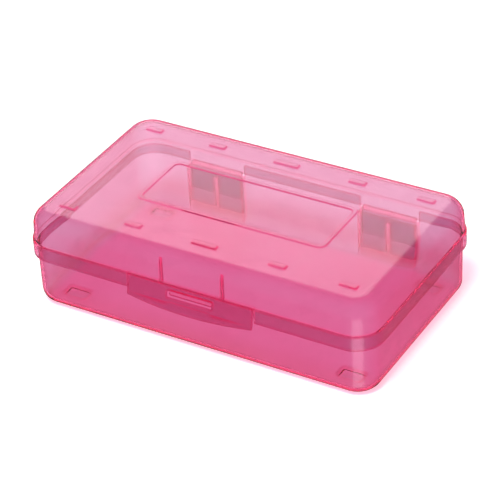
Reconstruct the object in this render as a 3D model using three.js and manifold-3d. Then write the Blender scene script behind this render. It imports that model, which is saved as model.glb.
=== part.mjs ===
// Moulded pencil case: a base tray, a hinged lid that overlaps it with a skirt, a latch flap on the front of
// the lid, and two hinge tabs that plug into pouches in the tray's back wall.
// Millimetres, +Z up. The origin is the middle of the underside. The latch faces -Y, the hinge is at +Y.
import * as THREE from "three";
import { mergeVertices } from "three/addons/utils/BufferGeometryUtils.js";
import Module from "manifold-3d";

const wasm = await Module();
wasm.setup();

// Driving dimensions of the closed case, measured over the lid's skirt.
const LENGTH = 210;
const WIDTH = 123.5;
const HEIGHT = 56.7;
const CORNER_RADIUS = 15.8;
const WALL = 1.6;

// Base tray: its wall stands inside the skirt.
const BASE_INSET = 2.1;
const BASE_FOOT_INSET = 2.3;
const BASE_EDGE_RADIUS = 7.1;
const RIM_TOP = 37.2;

// Lid: the skirt is the lower band, and the wall above it steps in.
const SKIRT_BOTTOM = 30.2;
const SKIRT_TOP = 39.2;
const LID_STEP = 0.7;
const LID_DRAFT = 0.6;
const LID_EDGE_RADIUS = 9.2;
const STEP_RISE = 0.3;

// Stacking nubs on the lid and the recesses under the tray's corners that sit over them.
const NUB_COLUMNS = [-84.3, -43.4, 0, 43.4, 84.3];
const NUB_ROW = 43.6;
const NUB_LENGTH = 10;
const MIDDLE_NUB_LENGTH = 15;
const NUB_WIDTH = 4;
const NUB_HEIGHT = 0.9;
const NUB_TAPER = 0.3;
const NUB_CORNER_RADIUS = 0.6;
const SMALLEST_CORNER_RADIUS = 0.4;
const RECESS_COLUMN = 84.3;
const RECESS_LENGTH = 14;
const RECESS_WIDTH = 8;
const RECESS_DEPTH = 2.2;
const RECESS_TAPER = 1.4;
const RECESS_CORNER_RADIUS = 1.5;

// Label frame: a low ridge on the lid.
const LABEL_LENGTH = 114;
const LABEL_WIDTH = 41.4;
const LABEL_RIDGE = 2.2;
const LABEL_RIDGE_HEIGHT = 0.6;
const LABEL_CORNER_RADIUS = 4;
const LABEL_INNER_CORNER_RADIUS = 3;

// Ribs inside the lid's front wall.
const RIB_OFFSET = 18.4;
const RIB_THICKNESS = 1.4;
const RIB_DEPTH = 2.2;
const RIB_BOTTOM = 38;

// Latch flap and the catch that it snaps over.
const FLAP_HALF_WIDTH = 37.6;
const FLAP_GAP = 0.4;
const FLAP_FLARE = 1.7;
const FLAP_BEND = 29.4;
const LIP_BOTTOM = 26.9;
const LIP_REACH = 0.5;
const LIP_BULGE = 2.6;
const LIP_DIP = 1.5;
const WINDOW_HALF_WIDTH = 13.7;
const WINDOW_BOTTOM = 31.5;
const WINDOW_TOP = 35.6;
const CATCH_HALF_WIDTH = 12.8;
const CATCH_BOTTOM = 32;
const CATCH_TOP = 35;
const CATCH_REACH = 1.4;
const CATCH_SHOULDER = CATCH_BOTTOM + 1;

// Hinge pouches in the tray's back wall, and the tabs that plug into them.
const POUCH_CENTRE = 54.45;
const POUCH_HALF_WIDTH = 17.85;
const POUCH_DEPTH = 3.7;
const POUCH_SIDE_WALL = 1.2;
const POUCH_TOP = 29.8;
const POUCH_FLOOR = 6.5;
const POUCH_RIB_TOP = 26;
const TAB_BOTTOM = 15.5;
const TAB_FLANGE = 2.2;
const RUNNING_GAP = 0.3;

// How far a cutting block reaches past the faces that it opens.
const CUT_MARGIN = 1;

const CORNER_STEPS = 8;
const EDGE_STEPS = 6;
const FLAP_STEPS = 16;

function pink() {
  const material = new THREE.MeshStandardMaterial({ color: 0xe8709c, roughness: 0.22, metalness: 0 });
  material.transparent = true;
  material.opacity = 0.7;
  return material;
}

// The plan outline moved in by `inset`, as points anticlockwise seen from above.
function planOutline(inset, length = LENGTH, width = WIDTH, cornerRadius = CORNER_RADIUS) {
  const radius = Math.max(cornerRadius - inset, SMALLEST_CORNER_RADIUS);
  const x = length / 2 - inset - radius;
  const y = width / 2 - inset - radius;
  const corners = [[x, -y], [x, y], [-x, y], [-x, -y]];
  const points = [];
  corners.forEach(([cx, cy], corner) => {
    for (let step = 0; step <= CORNER_STEPS; step++) {
      const angle = (corner - 1 + step / CORNER_STEPS) * (Math.PI / 2);
      points.push([cx + radius * Math.cos(angle), cy + radius * Math.sin(angle)]);
    }
  });
  return points;
}

// One closed body from rings of [x, y, z] points, first and last ring capped.
function skin(rings, caps) {
  const count = rings[0].length;
  const index = [];
  for (let ring = 0; ring + 1 < rings.length; ring++) {
    for (let side = 0; side < count; side++) {
      const a = ring * count + side;
      const b = ring * count + ((side + 1) % count);
      index.push(a, b, b + count, a, b + count, a + count);
    }
  }
  const last = (rings.length - 1) * count;
  for (const [a, b, c] of caps) {
    index.push(c, b, a);
    index.push(last + a, last + b, last + c);
  }
  const geometry = new THREE.BufferGeometry();
  geometry.setAttribute("position", new THREE.Float32BufferAttribute(rings.flat(2), 3));
  geometry.setIndex(index);
  return geometry;
}

// A body whose cross-section follows the plan outline: the profile is a list of [inset, z].
function shell(profile) {
  const rings = profile.map(([inset, z]) => planOutline(inset).map(([x, y]) => [x, y, z]));
  const caps = THREE.ShapeUtils.triangulateShape(
    rings[0].map(([x, y]) => new THREE.Vector2(x, y)),
    [],
  );
  return skin(rings, caps);
}

// A quarter circle in a profile, about a centre, between two angles in quarter turns.
function profileArc(inset, z, radius, from, to) {
  const points = [];
  for (let step = 0; step <= EDGE_STEPS; step++) {
    const angle = (from + ((to - from) * step) / EDGE_STEPS) * (Math.PI / 2);
    points.push([inset - radius * Math.cos(angle), z + radius * Math.sin(angle)]);
  }
  return points;
}

function block([xLow, xHigh], [yLow, yHigh], [zLow, zHigh]) {
  const geometry = new THREE.BoxGeometry(xHigh - xLow, yHigh - yLow, zHigh - zLow);
  return geometry.translate((xLow + xHigh) / 2, (yLow + yHigh) / 2, (zLow + zHigh) / 2);
}

// A flat-topped pad with rounded corners, whose top is smaller by `taper` all round.
function pad(length, width, cornerRadius, zLow, zHigh, taper) {
  const rings = [[0, zLow], [taper, zHigh]].map(([inset, z]) =>
    planOutline(inset, length, width, cornerRadius).map(([x, y]) => [x, y, z]),
  );
  const caps = THREE.ShapeUtils.triangulateShape(
    rings[0].map(([x, y]) => new THREE.Vector2(x, y)),
    [],
  );
  return skin(rings, caps);
}

function solid(geometry) {
  const bare = geometry.clone();
  bare.deleteAttribute("normal");
  bare.deleteAttribute("uv");
  const merged = mergeVertices(bare, 1e-4);
  return new wasm.Manifold(
    new wasm.Mesh({
      numProp: 3,
      vertProperties: new Float32Array(merged.attributes.position.array),
      triVerts: new Uint32Array(merged.index.array),
    }),
  );
}

function named(name, body) {
  const { vertProperties, triVerts } = body.getMesh();
  const geometry = new THREE.BufferGeometry();
  geometry.setAttribute("position", new THREE.BufferAttribute(vertProperties, 3));
  geometry.setIndex(new THREE.BufferAttribute(triVerts, 1));
  const mesh = new THREE.Mesh(geometry, pink());
  mesh.name = name;
  return mesh;
}

const SIDES = [-1, 1];
const WALL_OUTSIDE = WIDTH / 2 - BASE_INSET;
const WALL_INSIDE = WALL_OUTSIDE - WALL;
const SKIRT_INSIDE = WIDTH / 2 - WALL;
const LID_WALL_INSIDE = WIDTH / 2 - LID_STEP - WALL;

// The span of a pouch on one side of the middle, grown or shrunk by `margin`.
function pouchSpan(side, margin = 0) {
  const reach = POUCH_HALF_WIDTH + margin;
  return [side * POUCH_CENTRE - reach, side * POUCH_CENTRE + reach];
}

const FOOT_INSET = BASE_FOOT_INSET + BASE_EDGE_RADIUS;
const TRAY_OUTSIDE = [
  ...profileArc(FOOT_INSET, BASE_EDGE_RADIUS, BASE_EDGE_RADIUS, -1, 0),
  [BASE_INSET, RIM_TOP],
];
const TRAY_INSIDE = [
  [BASE_INSET + WALL, RIM_TOP],
  ...profileArc(FOOT_INSET, BASE_EDGE_RADIUS, BASE_EDGE_RADIUS - WALL, 0, -1),
];

// The pouch is a second wall inside the back wall, open at its top, with a rib up its middle.
function withPouches(tray) {
  const front = WALL_INSIDE - POUCH_DEPTH;
  const trayOutline = solid(shell(TRAY_OUTSIDE));
  for (const side of SIDES) {
    const pouch = solid(block(pouchSpan(side), [front, WALL_OUTSIDE], [0, POUCH_TOP]));
    tray = tray
      .add(pouch.intersect(trayOutline))
      .subtract(solid(block(pouchSpan(side), [front - CUT_MARGIN, WIDTH], [POUCH_TOP, RIM_TOP + CUT_MARGIN])));
    for (const half of SIDES) {
      const centre = side * POUCH_CENTRE + (half * POUCH_HALF_WIDTH) / 2;
      const reach = POUCH_HALF_WIDTH / 2 - POUCH_SIDE_WALL;
      const slot = block([centre - reach, centre + reach], [front + WALL, WALL_INSIDE], [POUCH_FLOOR, RIM_TOP]);
      tray = tray.subtract(solid(slot));
    }
    const ribHead = block(
      [side * POUCH_CENTRE - WALL, side * POUCH_CENTRE + WALL],
      [front + WALL, WALL_INSIDE],
      [POUCH_RIB_TOP, RIM_TOP],
    );
    tray = tray.subtract(solid(ribHead));
  }
  return tray;
}

function withStackingRecesses(tray) {
  for (const x of [-RECESS_COLUMN, RECESS_COLUMN]) {
    for (const y of [-NUB_ROW, NUB_ROW]) {
      const bump = pad(
        RECESS_LENGTH + 2 * WALL, RECESS_WIDTH + 2 * WALL, RECESS_CORNER_RADIUS + WALL,
        WALL / 2, RECESS_DEPTH + WALL, RECESS_TAPER,
      );
      const recess = pad(
        RECESS_LENGTH, RECESS_WIDTH, RECESS_CORNER_RADIUS, -CUT_MARGIN, RECESS_DEPTH, RECESS_TAPER,
      );
      tray = tray.add(solid(bump.translate(x, y, 0))).subtract(solid(recess.translate(x, y, 0)));
    }
  }
  return tray;
}

// The catch's top slopes, so the flap rides over it, and its underside is square.
function catchBar() {
  const outline = new THREE.Shape([
    new THREE.Vector2(WALL_OUTSIDE - WALL / 2, CATCH_BOTTOM),
    new THREE.Vector2(WALL_OUTSIDE + CATCH_REACH, CATCH_BOTTOM),
    new THREE.Vector2(WALL_OUTSIDE + CATCH_REACH, CATCH_SHOULDER),
    new THREE.Vector2(WALL_OUTSIDE, CATCH_TOP),
    new THREE.Vector2(WALL_OUTSIDE - WALL / 2, CATCH_TOP),
  ]);
  const bar = new THREE.ExtrudeGeometry(outline, { depth: 2 * CATCH_HALF_WIDTH, bevelEnabled: false });
  bar.translate(0, 0, -CATCH_HALF_WIDTH);
  // The outline's x and y become the case's -Y and Z.
  const turn = new THREE.Matrix4().makeBasis(
    new THREE.Vector3(0, -1, 0),
    new THREE.Vector3(0, 0, 1),
    new THREE.Vector3(-1, 0, 0),
  );
  return solid(bar.applyMatrix4(turn));
}

function baseTray() {
  const tub = solid(shell([...TRAY_OUTSIDE, ...TRAY_INSIDE]));
  return withStackingRecesses(withPouches(tub)).add(catchBar());
}

function lidShell() {
  const topInset = LID_STEP + LID_DRAFT + LID_EDGE_RADIUS;
  const bend = HEIGHT - LID_EDGE_RADIUS;
  return solid(
    shell([
      ...profileArc(topInset, bend, LID_EDGE_RADIUS - WALL, 1, 0),
      [LID_STEP + WALL, SKIRT_TOP - STEP_RISE],
      [WALL, SKIRT_TOP - 2 * STEP_RISE],
      [WALL, SKIRT_BOTTOM],
      [0, SKIRT_BOTTOM],
      [0, SKIRT_TOP - STEP_RISE],
      [LID_STEP, SKIRT_TOP],
      ...profileArc(topInset, bend, LID_EDGE_RADIUS, 0, 1),
    ]),
  );
}

function withNubs(lid) {
  for (const y of [-NUB_ROW, NUB_ROW]) {
    for (const x of NUB_COLUMNS) {
      const length = x === 0 ? MIDDLE_NUB_LENGTH : NUB_LENGTH;
      const nub = pad(length, NUB_WIDTH, NUB_CORNER_RADIUS, HEIGHT - WALL / 2, HEIGHT + NUB_HEIGHT, NUB_TAPER);
      lid = lid.add(solid(nub.translate(x, y, 0)));
    }
  }
  return lid;
}

function labelFrame() {
  const outside = pad(
    LABEL_LENGTH, LABEL_WIDTH, LABEL_CORNER_RADIUS, HEIGHT - WALL / 2, HEIGHT + LABEL_RIDGE_HEIGHT, 0,
  );
  const inside = pad(
    LABEL_LENGTH - 2 * LABEL_RIDGE, LABEL_WIDTH - 2 * LABEL_RIDGE, LABEL_INNER_CORNER_RADIUS,
    HEIGHT - WALL, HEIGHT + WALL, 0,
  );
  return solid(outside).subtract(solid(inside));
}

// A rib fills the corner between the front wall and the lid's top, so it is cut to the lid's own outline.
function frontRibs() {
  const filled = solid(
    shell([
      [LID_STEP + WALL, RIB_BOTTOM],
      [LID_STEP + WALL, SKIRT_TOP],
      [LID_STEP + WALL / 2, SKIRT_TOP + WALL],
      ...profileArc(
        LID_STEP + LID_DRAFT + LID_EDGE_RADIUS, HEIGHT - LID_EDGE_RADIUS, LID_EDGE_RADIUS - WALL / 2, 0, 1,
      ),
    ]),
  );
  const ribs = SIDES.map((side) => {
    const x = side * RIB_OFFSET;
    const span = [x - RIB_THICKNESS / 2, x + RIB_THICKNESS / 2];
    return solid(block(span, [-WIDTH, RIB_DEPTH - LID_WALL_INSIDE], [0, HEIGHT])).intersect(filled);
  });
  return ribs[0].add(ribs[1]);
}

function lid() {
  const flapBay = FLAP_HALF_WIDTH + FLAP_GAP;
  const opening = block([-flapBay, flapBay], [-WIDTH, 0], [0, SKIRT_TOP]);
  const body = withNubs(lidShell()).add(labelFrame()).subtract(solid(opening));
  return body.add(frontRibs());
}

// The flap's cross-section at x: it leaves the skirt's step, flares out to a bend, and ends in a lip that
// reaches furthest in the middle.
function flapSection(x) {
  const bulge = 1 - (x / FLAP_HALF_WIDTH) ** 2;
  const face = -WIDTH / 2;
  const bend = face - FLAP_FLARE;
  const lip = bend - LIP_REACH - LIP_BULGE * bulge;
  const lipLow = LIP_BOTTOM - LIP_DIP * bulge;
  const top = SKIRT_TOP - FLAP_GAP;
  return [
    [x, face, top],
    [x, bend, FLAP_BEND],
    [x, lip, lipLow + WALL * 0.75],
    [x, lip + WALL / 4, lipLow],
    [x, bend + WALL / 2, lipLow + LIP_DIP * bulge + WALL / 4],
    [x, bend + WALL, FLAP_BEND],
    [x, face + WALL, top],
  ];
}

function latchFlap() {
  const rings = [];
  for (let step = 0; step <= FLAP_STEPS; step++) {
    rings.push(flapSection(FLAP_HALF_WIDTH * ((2 * step) / FLAP_STEPS - 1)));
  }
  const caps = THREE.ShapeUtils.triangulateShape(
    rings[0].map(([, y, z]) => new THREE.Vector2(y, z)),
    [],
  );
  const window = block([-WINDOW_HALF_WIDTH, WINDOW_HALF_WIDTH], [-WIDTH, 0], [WINDOW_BOTTOM, WINDOW_TOP]);
  return solid(skin(rings, caps)).subtract(solid(window));
}

// A tongue inside the pouch, notched over the pouch's rib, with a flange over the back wall to the hinge line.
function hingeTab(side) {
  const [low, high] = pouchSpan(side, -POUCH_SIDE_WALL - 2 * RUNNING_GAP);
  const back = WALL_INSIDE - RUNNING_GAP;
  const front = WALL_INSIDE - POUCH_DEPTH + WALL + RUNNING_GAP;
  const flangeBottom = POUCH_TOP + RUNNING_GAP;
  const tongue = block([low, high], [front, back], [TAB_BOTTOM, flangeBottom + TAB_FLANGE / 2]);
  const flange = block(
    [low, high], [front, SKIRT_INSIDE - RUNNING_GAP], [flangeBottom, flangeBottom + TAB_FLANGE],
  );
  const centre = side * POUCH_CENTRE;
  const notch = block(
    [centre - WALL, centre + WALL], [front - CUT_MARGIN, back + CUT_MARGIN],
    [TAB_BOTTOM - CUT_MARGIN, POUCH_RIB_TOP + RUNNING_GAP],
  );
  return solid(tongue).add(solid(flange)).subtract(solid(notch));
}

const pencilCase = new THREE.Group();
pencilCase.add(
  named("base_tray", baseTray()),
  named("lid", lid()),
  named("latch_flap", latchFlap()),
  named("hinge_tab_left", hingeTab(-1)),
  named("hinge_tab_right", hingeTab(1)),
);

export default pencilCase;
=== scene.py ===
"""A moulded translucent pencil case: a base tray, a hinged lid, a latch flap and two hinge tabs.

Shapes are worked out in millimetres from the CAD nodes' boxes and scaled to metres when a mesh is made.
The latch faces -Y and the hinge is at +Y.
"""

import math

import bpy
from mathutils import Matrix, Vector


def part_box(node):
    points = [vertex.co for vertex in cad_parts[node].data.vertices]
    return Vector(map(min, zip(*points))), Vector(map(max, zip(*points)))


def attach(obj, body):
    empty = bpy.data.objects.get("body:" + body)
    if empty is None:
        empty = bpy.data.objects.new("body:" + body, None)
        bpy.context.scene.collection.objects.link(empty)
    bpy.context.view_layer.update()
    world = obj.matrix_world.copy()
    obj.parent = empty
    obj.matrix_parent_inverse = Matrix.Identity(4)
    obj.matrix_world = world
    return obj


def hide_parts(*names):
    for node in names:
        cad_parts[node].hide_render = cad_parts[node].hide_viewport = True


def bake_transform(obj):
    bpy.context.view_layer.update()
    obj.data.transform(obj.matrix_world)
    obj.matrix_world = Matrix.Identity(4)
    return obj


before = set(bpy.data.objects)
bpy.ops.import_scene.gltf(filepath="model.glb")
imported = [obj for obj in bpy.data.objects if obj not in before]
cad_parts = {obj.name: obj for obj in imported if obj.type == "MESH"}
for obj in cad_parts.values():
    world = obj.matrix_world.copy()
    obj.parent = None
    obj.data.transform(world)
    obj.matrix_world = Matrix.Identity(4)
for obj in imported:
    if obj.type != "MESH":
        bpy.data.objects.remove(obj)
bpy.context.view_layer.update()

MM = 0.001
QUARTER = math.pi / 2
SIDES = (-1, 1)


def span(cad_node):
    """The lowest and highest corners of a CAD node, in millimetres."""
    low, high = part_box(cad_node)
    return low / MM, high / MM


LID_LOW, LID_HIGH = span("lid")
TRAY_LOW, TRAY_HIGH = span("base_tray")
FLAP_LOW, FLAP_HIGH = span("latch_flap")
TAB_LOW, TAB_HIGH = span("hinge_tab_right")

# The closed case over the lid's skirt.
LENGTH = LID_HIGH.x - LID_LOW.x
WIDTH = LID_HIGH.y - LID_LOW.y
CORNER_RADIUS = 15.8
WALL = 1.6
RUNNING_GAP = 0.3
# How far a cutting shape runs past what it cuts.
CUT_MARGIN = 1

# Lid: the skirt is the lower band, and the wall above it steps in.
NUB_HEIGHT = 0.9
LID_TOP = LID_HIGH.z - NUB_HEIGHT
SKIRT_HEIGHT = 9
SKIRT_BOTTOM = LID_LOW.z
SKIRT_TOP = SKIRT_BOTTOM + SKIRT_HEIGHT
LID_STEP = 0.7
STEP_RISE = 0.3
LID_DRAFT = 0.6
LID_EDGE_RADIUS = 9.2
LID_TOP_INSET = LID_STEP + LID_DRAFT + LID_EDGE_RADIUS
LID_BEND = LID_TOP - LID_EDGE_RADIUS
LID_WALL_INSIDE = WIDTH / 2 - LID_STEP - WALL
SKIRT_INSIDE = WIDTH / 2 - WALL

# Base tray: its wall stands inside the skirt.
BASE_INSET = LID_HIGH.x - TRAY_HIGH.x
BASE_DRAFT = 0.2
BASE_EDGE_RADIUS = 7.1
FOOT_INSET = BASE_INSET + BASE_DRAFT + BASE_EDGE_RADIUS
RIM_TOP = TRAY_HIGH.z
WALL_OUTSIDE = TRAY_HIGH.y
WALL_INSIDE = WALL_OUTSIDE - WALL

# Stacking nubs on the lid and the recesses under the tray's corners.
NUB_COLUMNS = (-84.3, -43.4, 0, 43.4, 84.3)
NUB_ROW = 43.6
NUB_LENGTH = 10
MIDDLE_NUB_LENGTH = 15
NUB_WIDTH = 4
NUB_TAPER = 0.3
NUB_CORNER = 0.6
SMALLEST_CORNER = 0.4
RECESS_LENGTH = 14
RECESS_WIDTH = 8
RECESS_DEPTH = 1.6
RECESS_TAPER = 3
RECESS_CORNER = 1.5

# Label frame: a low ridge on the lid.
LABEL_LENGTH = 114
LABEL_WIDTH = 41.4
LABEL_RIDGE = 2.2
LABEL_RIDGE_HEIGHT = 0.6
LABEL_CORNER = 4
LABEL_INNER_CORNER = 3

# Ribs inside the lid's front wall.
RIB_OFFSET = 18.4
RIB_THICKNESS = 1.4
RIB_DEPTH = 2.2
RIB_BOTTOM = 38

# Latch flap and the catch that it snaps over.
FLAP_HALF_WIDTH = FLAP_HIGH.x
FLAP_TOP = FLAP_HIGH.z
FLAP_GAP = SKIRT_TOP - FLAP_TOP
FLAP_FACE = -WIDTH / 2
FLAP_FLARE = 1.7
FLAP_BEND_Y = FLAP_FACE - FLAP_FLARE
FLAP_BEND_Z = 29.4
LIP_REACH = 0.5
LIP_BULGE = FLAP_BEND_Y - LIP_REACH - FLAP_LOW.y
LIP_DIP = 1.5
LIP_BOTTOM = FLAP_LOW.z + LIP_DIP
LIP_FACE_HEIGHT = WALL * 0.75
LIP_TOE = WALL / 4
WINDOW_HALF_WIDTH = 13.7
WINDOW_BOTTOM = 31.5
WINDOW_TOP = 35.6
CATCH_HALF_WIDTH = 12.8
CATCH_BOTTOM = 32
CATCH_TOP = 35
CATCH_NOSE_HEIGHT = 1
CATCH_FACE = TRAY_LOW.y

# Hinge pouches in the tray's back wall, and the tabs that plug into them.
TAB_FLANGE = 2.2
TAB_HALF_WIDTH = (TAB_HIGH.x - TAB_LOW.x) / 2
POUCH_CENTRE = (TAB_LOW.x + TAB_HIGH.x) / 2
POUCH_SIDE_WALL = WALL * 0.75
POUCH_HALF_WIDTH = TAB_HALF_WIDTH + POUCH_SIDE_WALL + 2 * RUNNING_GAP
POUCH_FRONT = TAB_LOW.y - RUNNING_GAP - WALL
POUCH_TOP = TAB_HIGH.z - TAB_FLANGE - RUNNING_GAP
POUCH_FLOOR = 6.5
POUCH_RIB_TOP = 26

# Living hinges: a web over the flap, and a web from each tab to the lid, made longer by a seat at each end.
# The flap's web is seated in the flap, but its upper end stops short of the lid.
FILM_THICKNESS = 0.35
FILM_SEAT = 0.1
FILM_STEPS = 12
FLAP_FILM_DEPTH = 0.45
FLAP_FILM_Y = FLAP_FACE + FLAP_FILM_DEPTH
TAB_FILM_Z = 30.6

# Smoothness of the meshes.
CORNER_STEPS = 20
SMALL_CORNER_STEPS = 3
FILLET_STEPS = 14
FLAP_STEPS = 40
PAD_STEPS = 6
EDGE_ROUND = 0.3
EDGE_ROUND_STEPS = 3
SHARP_ANGLE = math.radians(40)

# Plastic: the tint of one wall seen face on and edge on, the painted shade along moulded edges, what a lamp's
# light keeps at each surface, and the colour that depth adds.
PLASTIC_IOR = 1.1
FACING_TINT = (0.74, 0.79, 0.83, 1)
TURNED_TINT = (0.69, 0.23, 0.44, 1)
TINT_BLEND = 0.35
# Painted shade: a deep pink along every moulded edge. It stands for the dark lines that refraction and
# internal reflection draw there, and partly for the extra depth of plastic seen edge on.
PAINTED_EDGE_SHADE = (1, 0.15, 0.35, 1)
EDGE_REACH = 1.2
EDGE_AGREEMENT = 0.92
FACE_AGREEMENT = 0.99
LAMP_TINT = (0.96, 0.77, 0.9, 1)
DEPTH_COLOUR = (1, 0.51, 0.7, 1)
DEPTH_DENSITY = 390.0
FLAP_DENSITY = 640.0
COAT_WEIGHT = 0.4
COAT_IOR = 1.45
ROUGHNESS_SPAN = (0.02, 0.07)
COAT_ROUGHNESS_SPAN = (0.2, 0.3)
HAZE_SCALE = 45.0
FLOW_SCALE = 22.0
FLOW_DEPTH = 0.06
NOISE_DETAIL = 3.0
NOISE_LOW = 0.3
NOISE_HIGH = 0.7
# Each bump: patches to the metre, strength, depth in metres and stretch.
BUMPS = (
    (28.0, 0.05, 0.001, (1, 1, 1)),
    (900.0, 0.05, 0.0001, (1, 1, 1)),
    (260.0, 0.04, 0.0001, (1, 14, 1)),
)

# Camera: degrees for its angles, millimetres for the rest.
VIEW_AZIMUTH = 31.80
VIEW_ELEVATION = 33.85
VIEW_ROLL = -3.40
VIEW_CENTRE = 30
VIEW_RIGHT = 0.22
VIEW_DOWN = 2.41
VIEW_DISTANCE = 1232.2
LENS = 165.5
SENSOR_WIDTH = 36

# Studio: radiance of the surroundings and the floor, then each lamp's power in watts, and its place
# and size in metres.
WHITE = (1, 1, 1, 1)
WORLD_STRENGTH = 0.34
WORLD_COLOUR = (0.95, 1, 1, 1)
FLOOR_REACH = 6
FLOOR_DROP = 0.0005
FLOOR_COLOUR = (0.9, 0.9, 0.9, 1)
FLOOR_GLOW = 0.4
KEY_POWER = 22
BACK_POWER = 23
CORNER_POWER = 14
KEY_PLACE = (0.1, -0.62, 1.45)
KEY_SIZE = (0.5, 0.5)
BACK_PLACE = (-0.9, 1.4, 1.0)
BACK_SIZE = (1.6, 1.0)
# This card is under the floor: only its reflection shows, as a soft strip on the front corner.
CORNER_PLACE = (0.7, -1.1, -0.9)
CORNER_SIZE = (1.0, 1.0)

# How many walls a ray of light may meet.
WALL_BOUNCES = 40
GLOSSY_BOUNCES = 16
DIFFUSE_BOUNCES = 4
LAMP_RAY_BOUNCES = 64


def outline(inset, length, width, corner_radius):
    """A rounded rectangle moved in by inset, as points anticlockwise seen from above."""
    radius = max(corner_radius - inset, SMALLEST_CORNER)
    steps = CORNER_STEPS if corner_radius == CORNER_RADIUS else SMALL_CORNER_STEPS
    x = length / 2 - inset - radius
    y = width / 2 - inset - radius
    points = []
    for corner, (centre_x, centre_y) in enumerate(((x, -y), (x, y), (-x, y), (-x, -y))):
        for step in range(steps + 1):
            angle = (corner - 1 + step / steps) * QUARTER
            points.append((centre_x + radius * math.cos(angle), centre_y + radius * math.sin(angle)))
    return points


def arc(inset, z, radius, start, end):
    """Part of a circle in a profile, between two angles in quarter turns from straight out."""
    points = []
    for step in range(FILLET_STEPS + 1):
        angle = (start + (end - start) * step / FILLET_STEPS) * QUARTER
        points.append((inset - radius * math.cos(angle), z + radius * math.sin(angle)))
    return points


def solid(name, points, faces):
    """An object with this mesh, given in millimetres."""
    mesh = bpy.data.meshes.new(name)
    mesh.from_pydata([Vector(point) * MM for point in points], [], faces)
    made = bpy.data.objects.new(name, mesh)
    bpy.context.scene.collection.objects.link(made)
    return made


def lofted(name, rings):
    """A closed solid through rings of points, with the first and last ring capped."""
    count = len(rings[0])
    last = (len(rings) - 1) * count
    faces = [tuple(reversed(range(count))), tuple(range(last, last + count))]
    for ring in range(0, last, count):
        for side in range(count):
            after = (side + 1) % count
            faces.append((ring + side, ring + after, ring + count + after, ring + count + side))
    return solid(name, [point for ring in rings for point in ring], faces)


def shell(name, profile, length=LENGTH, width=WIDTH, corner_radius=CORNER_RADIUS, x=0, y=0):
    """A solid whose plan is a rounded rectangle and whose profile is a list of (inset, z)."""
    rings = [
        [(x + across, y + along, z) for across, along in outline(inset, length, width, corner_radius)]
        for inset, z in profile
    ]
    return lofted(name, rings)


def block(name, x_span, y_span, z_span):
    """A box between these spans."""
    corners = [(0, 0), (1, 0), (1, 1), (0, 1)]
    rings = [[(x_span[i], y_span[j], z) for i, j in corners] for z in z_span]
    return lofted(name, rings)


def extruded(name, section, x_low, x_high):
    """A solid along X whose section is a list of (y, z), anticlockwise seen from -X."""
    return lofted(name, [[(x, y, z) for y, z in section] for x in (x_low, x_high)])


def settle(piece):
    """Applies a piece's modifiers to its mesh."""
    graph = bpy.context.evaluated_depsgraph_get()
    mesh = bpy.data.meshes.new_from_object(piece.evaluated_get(graph))
    piece.modifiers.clear()
    piece.data = mesh


def combine(operation, piece, *tools):
    """Joins, cuts or trims a piece with each tool in turn, and removes the tools."""
    for tool in tools:
        modifier = piece.modifiers.new(tool.name, "BOOLEAN")
        modifier.operation = operation
        modifier.solver = "EXACT"
        modifier.object = tool
    settle(piece)
    for tool in tools:
        bpy.data.objects.remove(tool)
    return piece


def finished(piece):
    """Rounds a piece's sharp edges and smooths its faces."""
    bevel = piece.modifiers.new("rounded_edges", "BEVEL")
    bevel.width = EDGE_ROUND * MM
    bevel.segments = EDGE_ROUND_STEPS
    bevel.limit_method = "ANGLE"
    bevel.angle_limit = SHARP_ANGLE
    bevel.use_clamp_overlap = False
    bevel.miter_outer = "MITER_ARC"
    settle(piece)
    piece.data.shade_smooth()
    piece.data.set_sharp_from_angle(angle=SHARP_ANGLE)
    piece.modifiers.new("flat_faces_stay_flat", "WEIGHTED_NORMAL").keep_sharp = True
    settle(piece)
    return piece


def pouch_span(side):
    """The x span of the pouch on one side of the middle."""
    return side * POUCH_CENTRE - POUCH_HALF_WIDTH, side * POUCH_CENTRE + POUCH_HALF_WIDTH


def tab_span(side):
    """The x span of the hinge tab on one side of the middle."""
    return side * POUCH_CENTRE - TAB_HALF_WIDTH, side * POUCH_CENTRE + TAB_HALF_WIDTH


def tub():
    """The tray's own wall and floor."""
    outside = arc(FOOT_INSET, BASE_EDGE_RADIUS, BASE_EDGE_RADIUS, -1, 0) + [(BASE_INSET, RIM_TOP)]
    inside = arc(FOOT_INSET, BASE_EDGE_RADIUS, BASE_EDGE_RADIUS - WALL, 0, -1)
    return shell("tray", [*outside, (BASE_INSET + WALL, RIM_TOP), *inside])


def pouch_body(side):
    """The filled pouch, trimmed to end inside the tray's wall."""
    middle = WALL / 2
    trim = shell("trim", [
        *arc(FOOT_INSET, BASE_EDGE_RADIUS, BASE_EDGE_RADIUS - middle, -1, 0), (BASE_INSET + middle, LID_TOP),
    ])
    body = block("pouch", pouch_span(side), (POUCH_FRONT, WIDTH), (0, RIM_TOP - WALL))
    return combine("INTERSECT", body, trim)


def pouch_cutters(side):
    """The gap in the rim over the pouch, and the two slots either side of its rib."""
    slot_y = (POUCH_FRONT + WALL, WALL_INSIDE)
    centre = side * POUCH_CENTRE
    cutters = [
        block("rim_gap", pouch_span(side), (POUCH_FRONT - CUT_MARGIN, WIDTH), (POUCH_TOP, LID_TOP)),
        block("rib_head", (centre - WALL, centre + WALL), slot_y, (POUCH_RIB_TOP, LID_TOP)),
    ]
    reach = POUCH_HALF_WIDTH / 2 - POUCH_SIDE_WALL
    for half in SIDES:
        middle = centre + half * POUCH_HALF_WIDTH / 2
        cutters.append(block("slot", (middle - reach, middle + reach), slot_y, (POUCH_FLOOR, LID_TOP)))
    return cutters


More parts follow.
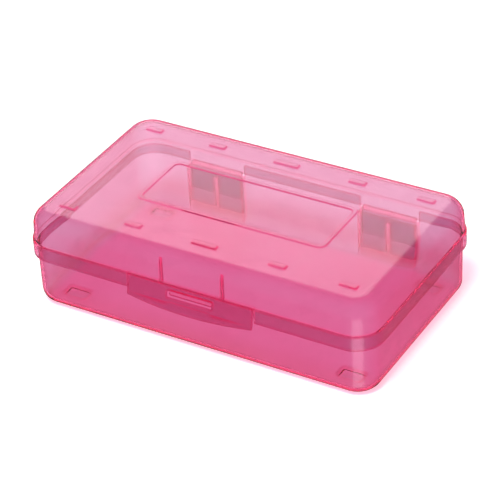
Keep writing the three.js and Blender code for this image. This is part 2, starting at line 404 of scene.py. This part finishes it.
def catch_bar():
    """The catch's top slopes, so the flap rides over it, and its underside is square."""
    root = -WALL_OUTSIDE + WALL / 2
    return extruded("catch", [
        (root, CATCH_BOTTOM), (root, CATCH_TOP), (-WALL_OUTSIDE - EDGE_ROUND, CATCH_TOP),
        (CATCH_FACE, CATCH_BOTTOM + CATCH_NOSE_HEIGHT), (CATCH_FACE, CATCH_BOTTOM),
    ], -CATCH_HALF_WIDTH, CATCH_HALF_WIDTH)


def recess_pad(name, grow, low, high, x, y):
    """A softly rising pad under one corner of the tray."""
    profile = []
    for step in range(PAD_STEPS + 1):
        rise = step / PAD_STEPS
        profile.append((RECESS_TAPER * rise, low + (high - low) * math.sin(rise * QUARTER)))
    return shell(
        name, profile, RECESS_LENGTH + 2 * grow, RECESS_WIDTH + 2 * grow, RECESS_CORNER + grow, x, y,
    )


def make_tray():
    """The tray with its hinge pouches, stacking recesses and catch."""
    tray = tub()
    for side in SIDES:
        combine("UNION", tray, pouch_body(side))
        combine("DIFFERENCE", tray, *pouch_cutters(side))
    for x in (NUB_COLUMNS[0], NUB_COLUMNS[-1]):
        for y in (-NUB_ROW, NUB_ROW):
            combine("UNION", tray, recess_pad("bump", WALL, WALL / 2, RECESS_DEPTH + WALL, x, y))
            combine("DIFFERENCE", tray, recess_pad("recess", 0, -CUT_MARGIN, RECESS_DEPTH, x, y))
    return finished(combine("UNION", tray, catch_bar()))


def lid_wall():
    """The lid's own top, wall and skirt."""
    return shell("lid_shell", [
        *arc(LID_TOP_INSET, LID_BEND, LID_EDGE_RADIUS - WALL, 1, 0),
        (LID_STEP + WALL, SKIRT_TOP - STEP_RISE),
        (WALL, SKIRT_TOP - 2 * STEP_RISE),
        (WALL, SKIRT_BOTTOM),
        (0, SKIRT_BOTTOM),
        (0, SKIRT_TOP - STEP_RISE),
        (LID_STEP, SKIRT_TOP),
        *arc(LID_TOP_INSET, LID_BEND, LID_EDGE_RADIUS, 0, 1),
    ])


def nub(x, y):
    """A stacking nub on the lid, longer on the middle column."""
    length = NUB_LENGTH if x else MIDDLE_NUB_LENGTH
    profile = [(0, LID_TOP - WALL / 2), (0, LID_TOP), (NUB_TAPER, LID_HIGH.z)]
    return shell("nub", profile, length, NUB_WIDTH, NUB_CORNER, x, y)


def label_frame():
    """A low ridge round the label panel."""
    low, high = LID_TOP - WALL / 2, LID_TOP + LABEL_RIDGE_HEIGHT
    ridge = shell("ridge", [(0, low), (0, high)], LABEL_LENGTH, LABEL_WIDTH, LABEL_CORNER)
    hole = shell(
        "hole", [(0, 0), (0, LID_TOP + WALL)], LABEL_LENGTH - 2 * LABEL_RIDGE, LABEL_WIDTH - 2 * LABEL_RIDGE,
        LABEL_INNER_CORNER,
    )
    return combine("DIFFERENCE", ridge, hole)


def front_rib(side):
    """A rib that fills the corner between the front wall and the lid's top."""
    middle = WALL / 2
    trim = shell("trim", [
        (LID_STEP + WALL, RIB_BOTTOM),
        (LID_STEP + WALL, SKIRT_TOP),
        (LID_STEP + middle, SKIRT_TOP + WALL),
        *arc(LID_TOP_INSET, LID_BEND, LID_EDGE_RADIUS - middle, 0, 1),
    ])
    x = side * RIB_OFFSET
    rib_x = (x - RIB_THICKNESS / 2, x + RIB_THICKNESS / 2)
    rib = block("rib", rib_x, (-WIDTH, RIB_DEPTH - LID_WALL_INSIDE), (0, LID_TOP))
    return combine("INTERSECT", rib, trim)


def make_lid():
    """The lid with its nubs, label frame and ribs, and the bay that the flap hangs in."""
    lid = lid_wall()
    combine("UNION", lid, *[nub(x, y) for y in (-NUB_ROW, NUB_ROW) for x in NUB_COLUMNS])
    combine("UNION", lid, label_frame())
    bay = FLAP_HALF_WIDTH + FLAP_GAP
    combine("DIFFERENCE", lid, block("flap_bay", (-bay, bay), (-WIDTH, 0), (0, SKIRT_TOP)))
    return finished(combine("UNION", lid, front_rib(-1), front_rib(1)))


def flap_section(x):
    """The flap's section at x: it flares out to a bend and ends in a lip, furthest out in the middle."""
    bulge = 1 - (x / FLAP_HALF_WIDTH) ** 2
    lip = FLAP_BEND_Y - LIP_REACH - LIP_BULGE * bulge
    lip_low = LIP_BOTTOM - LIP_DIP * bulge
    return [
        (x, FLAP_FACE, FLAP_TOP),
        (x, FLAP_BEND_Y, FLAP_BEND_Z),
        (x, lip, lip_low + LIP_FACE_HEIGHT),
        (x, lip + LIP_TOE, lip_low),
        (x, FLAP_BEND_Y + WALL / 2, LIP_BOTTOM + LIP_TOE),
        (x, FLAP_BEND_Y + WALL, FLAP_BEND_Z),
        (x, FLAP_FACE + WALL, FLAP_TOP),
    ]


def make_flap():
    """The latch flap with the window that the catch snaps into."""
    sections = [flap_section(FLAP_HALF_WIDTH * (2 * step / FLAP_STEPS - 1)) for step in range(FLAP_STEPS + 1)]
    window = block(
        "window", (-WINDOW_HALF_WIDTH, WINDOW_HALF_WIDTH), (-WIDTH, 0), (WINDOW_BOTTOM, WINDOW_TOP),
    )
    return finished(combine("DIFFERENCE", lofted("flap", sections), window))


def make_tab(side):
    """A tongue inside the pouch, notched over the pouch's rib, with a flange over the wall to the hinge."""
    name = "tab_left" if side < 0 else "tab_right"
    centre = side * POUCH_CENTRE
    tab_x = tab_span(side)
    back = WALL_INSIDE - RUNNING_GAP
    flange_bottom = TAB_HIGH.z - TAB_FLANGE
    tab = block(name, tab_x, (TAB_LOW.y, back), (TAB_LOW.z, flange_bottom + TAB_FLANGE / 2))
    combine("UNION", tab, block("flange", tab_x, (TAB_LOW.y, TAB_HIGH.y), (flange_bottom, TAB_HIGH.z)))
    notch = block(
        "notch", (centre - WALL, centre + WALL), (TAB_LOW.y - CUT_MARGIN, back + CUT_MARGIN),
        (TAB_LOW.z - CUT_MARGIN, POUCH_RIB_TOP + RUNNING_GAP),
    )
    return finished(combine("DIFFERENCE", tab, notch))


def make_film(name, x_span, start, end):
    """A living hinge: a thin web from one (y, z) point to another, in slices that can bend."""
    along = Vector(end) - Vector(start)
    half = Vector((along.y, -along.x)).normalized() * FILM_THICKNESS / 2
    rings = []
    for step in range(FILM_STEPS + 1):
        middle = Vector(start) + along * step / FILM_STEPS
        near, far = middle - half, middle + half
        rings.append([(x_span[0], *near), (x_span[1], *near), (x_span[1], *far), (x_span[0], *far)])
    return lofted(name, rings)


def node(tree, kind, **inputs):
    """A shader node with these inputs set."""
    made = tree.nodes.new(kind)
    for name, value in inputs.items():
        made.inputs[name.replace("_", " ")].default_value = value
    return made


def noise(tree, scale, low, high, stretch=(1, 1, 1)):
    """A noise pattern of this many patches to the metre, stretched to run from low to high."""
    place = node(tree, "ShaderNodeTexCoord")
    aim = node(tree, "ShaderNodeMapping", Scale=stretch)
    pattern = node(tree, "ShaderNodeTexNoise", Scale=scale, Detail=NOISE_DETAIL)
    spread = node(
        tree, "ShaderNodeMapRange", From_Min=NOISE_LOW, From_Max=NOISE_HIGH, To_Min=low, To_Max=high,
    )
    tree.links.new(place.outputs["Object"], aim.inputs["Vector"])
    tree.links.new(aim.outputs[0], pattern.inputs["Vector"])
    tree.links.new(pattern.outputs[0], spread.inputs["Value"])
    return spread.outputs[0]


def moulded_surface(tree):
    """Slow ripples from the mould, a finer grain over them, and hairline scratches, as a normal."""
    normal = None
    for scale, strength, depth, stretch in BUMPS:
        bump = node(tree, "ShaderNodeBump", Strength=strength, Distance=depth)
        tree.links.new(noise(tree, scale, 0, 1, stretch), bump.inputs["Height"])
        if normal:
            tree.links.new(normal, bump.inputs["Normal"])
        normal = bump.outputs[0]
    return normal


def blended(tree, factor, low, high):
    """A colour that runs from low to high; each is a colour or a node's output."""
    mix = tree.nodes.new("ShaderNodeMix")
    mix.data_type = "RGBA"
    tree.links.new(factor, mix.inputs[0])
    for socket, colour in ((mix.inputs[6], low), (mix.inputs[7], high)):
        if isinstance(colour, tuple):
            socket.default_value = colour
        else:
            tree.links.new(colour, socket)
    return mix.outputs[2]


def near_edges(tree):
    """One along every moulded edge and corner, and zero on open faces."""
    rounded = node(tree, "ShaderNodeBevel", Radius=EDGE_REACH * MM)
    surface = tree.nodes.new("ShaderNodeNewGeometry")
    agreement = tree.nodes.new("ShaderNodeVectorMath")
    agreement.operation = "DOT_PRODUCT"
    tree.links.new(rounded.outputs[0], agreement.inputs[0])
    tree.links.new(surface.outputs["True Normal"], agreement.inputs[1])
    spread = node(
        tree, "ShaderNodeMapRange", From_Min=EDGE_AGREEMENT, From_Max=FACE_AGREEMENT, To_Min=1.0, To_Max=0.0,
    )
    tree.links.new(agreement.outputs["Value"], spread.inputs["Value"])
    return spread.outputs[0]


def plastic_tint(tree):
    """Deeper where the surface turns away, with faint flow marks, and painted shade along moulded edges
    standing in for the dark lines that refraction draws there.
    """
    turned = node(tree, "ShaderNodeLayerWeight", Blend=TINT_BLEND)
    flow = tree.nodes.new("ShaderNodeMath")
    tree.links.new(turned.outputs["Facing"], flow.inputs[0])
    tree.links.new(noise(tree, FLOW_SCALE, -FLOW_DEPTH, FLOW_DEPTH), flow.inputs[1])
    wall = blended(tree, flow.outputs[0], FACING_TINT, TURNED_TINT)
    # Painted shade: the edge mask blends in a deep pink that stands for the dark lines of refraction along
    # edges.
    return blended(tree, near_edges(tree), wall, PAINTED_EDGE_SHADE)


def pink_plastic(name, density):
    """Clear tinted plastic whose colour deepens with thickness; lamps shine straight through it."""
    material = bpy.data.materials.new(name)
    material.use_nodes = True
    tree = material.node_tree
    tree.nodes.clear()
    link = tree.links.new
    output = node(tree, "ShaderNodeOutputMaterial")
    plastic = node(
        tree, "ShaderNodeBsdfPrincipled", IOR=PLASTIC_IOR, Transmission_Weight=1.0,
        Coat_Weight=COAT_WEIGHT, Coat_IOR=COAT_IOR,
    )
    link(plastic_tint(tree), plastic.inputs["Base Color"])
    link(noise(tree, HAZE_SCALE, *ROUGHNESS_SPAN), plastic.inputs["Roughness"])
    link(noise(tree, HAZE_SCALE, *COAT_ROUGHNESS_SPAN), plastic.inputs["Coat Roughness"])
    surface = moulded_surface(tree)
    link(surface, plastic.inputs["Normal"])
    link(surface, plastic.inputs["Coat Normal"])
    clear = node(tree, "ShaderNodeBsdfTransparent", Color=LAMP_TINT)
    rays = node(tree, "ShaderNodeLightPath")
    shader = plastic.outputs[0]
    for ray in ("Is Diffuse Ray", "Is Shadow Ray"):
        mix = node(tree, "ShaderNodeMixShader")
        link(rays.outputs[ray], mix.inputs[0])
        link(shader, mix.inputs[1])
        link(clear.outputs[0], mix.inputs[2])
        shader = mix.outputs[0]
    link(shader, output.inputs["Surface"])
    absorption = node(tree, "ShaderNodeVolumeAbsorption", Color=DEPTH_COLOUR, Density=density)
    link(absorption.outputs[0], output.inputs["Volume"])
    return material


def add_camera():
    """A long lens in front of the case, above it and to its right."""
    azimuth, elevation, roll = (math.radians(angle) for angle in (VIEW_AZIMUTH, VIEW_ELEVATION, VIEW_ROLL))
    level = math.cos(elevation)
    back = Vector((math.sin(azimuth) * level, -math.cos(azimuth) * level, math.sin(elevation)))
    right = Vector((0, 0, 1)).cross(back).normalized()
    up = back.cross(right)
    across = math.cos(roll) * right + math.sin(roll) * up
    upright = math.cos(roll) * up - math.sin(roll) * right
    place = Vector((0, 0, VIEW_CENTRE)) + VIEW_RIGHT * right - VIEW_DOWN * up + VIEW_DISTANCE * back
    camera = bpy.data.objects.new("camera", bpy.data.cameras.new("camera"))
    bpy.context.scene.collection.objects.link(camera)
    turn = Matrix((across, upright, back)).transposed().to_4x4()
    camera.matrix_world = Matrix.Translation(place * MM) @ turn
    camera.data.lens = LENS
    camera.data.sensor_width = SENSOR_WIDTH
    bpy.context.scene.camera = camera


def add_floor():
    """A pale matt sheet just under the case that casts no shadow and is left out of reflections."""
    reach, z = FLOOR_REACH, -FLOOR_DROP
    mesh = bpy.data.meshes.new("floor")
    corners = [(-reach, -reach, z), (reach, -reach, z), (reach, reach, z), (-reach, reach, z)]
    mesh.from_pydata(corners, [], [(0, 1, 2, 3)])
    floor = bpy.data.objects.new("floor", mesh)
    bpy.context.scene.collection.objects.link(floor)
    material = bpy.data.materials.new("floor")
    material.use_nodes = True
    paper = material.node_tree.nodes["Principled BSDF"].inputs
    paper["Base Color"].default_value = FLOOR_COLOUR
    paper["Roughness"].default_value = 1
    paper["Specular IOR Level"].default_value = 0
    paper["Emission Color"].default_value = WHITE
    paper["Emission Strength"].default_value = FLOOR_GLOW
    mesh.materials.append(material)
    floor.visible_glossy = False
    floor.visible_shadow = False


def add_light(name, place, size, power):
    """A rectangular lamp of this width and height that points at the case."""
    light = bpy.data.lights.new(name, "AREA")
    light.shape = "RECTANGLE"
    light.size, light.size_y = size
    light.energy = power
    lamp = bpy.data.objects.new(name, light)
    bpy.context.scene.collection.objects.link(lamp)
    lamp.location = place
    lamp.rotation_euler = (-Vector(place)).to_track_quat("-Z", "Y").to_euler()
    return lamp


def add_world():
    """Surroundings that the camera sees as plain white and that light the case more dimly."""
    world = bpy.data.worlds.new("studio")
    world.use_nodes = True
    tree = world.node_tree
    tree.nodes.clear()
    seen = node(tree, "ShaderNodeBackground", Strength=1.0, Color=WHITE)
    lit = node(tree, "ShaderNodeBackground", Strength=WORLD_STRENGTH, Color=WORLD_COLOUR)
    rays = node(tree, "ShaderNodeLightPath")
    mix = node(tree, "ShaderNodeMixShader")
    output = node(tree, "ShaderNodeOutputWorld")
    tree.links.new(rays.outputs["Is Camera Ray"], mix.inputs[0])
    tree.links.new(lit.outputs[0], mix.inputs[1])
    tree.links.new(seen.outputs[0], mix.inputs[2])
    tree.links.new(mix.outputs[0], output.inputs["Surface"])
    bpy.context.scene.world = world


def add_lamps():
    """A key lamp that lights the case, and two cards that are only reflected in it."""
    key = add_light("key", KEY_PLACE, KEY_SIZE, KEY_POWER)
    key.visible_glossy = False
    key.visible_transmission = False
    cards = (
        add_light("back", BACK_PLACE, BACK_SIZE, BACK_POWER),
        add_light("corner_card", CORNER_PLACE, CORNER_SIZE, CORNER_POWER),
    )
    for card in cards:
        card.visible_diffuse = False
        card.visible_transmission = False


def set_light_paths():
    """Plain colours, and enough bounces for light to pass through every wall."""
    bpy.context.scene.view_settings.view_transform = "Standard"
    cycles = bpy.context.scene.cycles
    cycles.max_bounces = WALL_BOUNCES
    cycles.transmission_bounces = WALL_BOUNCES
    cycles.glossy_bounces = GLOSSY_BOUNCES
    cycles.diffuse_bounces = DIFFUSE_BOUNCES
    cycles.transparent_max_bounces = LAMP_RAY_BOUNCES


def add_pieces():
    """Each piece stands for its CAD node and rides on that node's body."""
    wall_plastic = pink_plastic("pink_plastic", DEPTH_DENSITY)
    flap_plastic = pink_plastic("pink_plastic_flap", FLAP_DENSITY)
    made = (
        (make_tray(), "base", "base_tray", wall_plastic),
        (make_lid(), "lid", "lid", wall_plastic),
        (make_flap(), "latch", "latch_flap", flap_plastic),
        (make_tab(-1), "base", "hinge_tab_left", wall_plastic),
        (make_tab(1), "base", "hinge_tab_right", wall_plastic),
    )
    for piece, body, cad_node, plastic in made:
        piece.data.materials.clear()
        piece.data.materials.append(plastic)
        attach(piece, body)
        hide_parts(cad_node)
    return wall_plastic


def add_film(name, plastic, x_span, start, end):
    """A living hinge between two bodies, run on past both its ends by the seat."""
    along = (Vector(end) - Vector(start)).normalized() * FILM_SEAT
    film = make_film(name, x_span, Vector(start) - along, Vector(end) + along)
    film.data.materials.append(plastic)
    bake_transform(film)


def add_films(plastic):
    """The living hinges of the flap and of both tabs."""
    flap_x = (-FLAP_HALF_WIDTH, FLAP_HALF_WIDTH)
    add_film(
        "flap_film", plastic, flap_x, (FLAP_FILM_Y, SKIRT_TOP), (FLAP_FILM_Y, FLAP_TOP),
    )
    for side, name in zip(SIDES, ("tab_film_left", "tab_film_right")):
        tab_end = (TAB_HIGH.y, TAB_FILM_Z)
        lid_end = (SKIRT_INSIDE, TAB_FILM_Z)
        add_film(name, plastic, tab_span(side), tab_end, lid_end)


add_films(add_pieces())
add_camera()
add_floor()
add_world()
add_lamps()
set_light_paths()
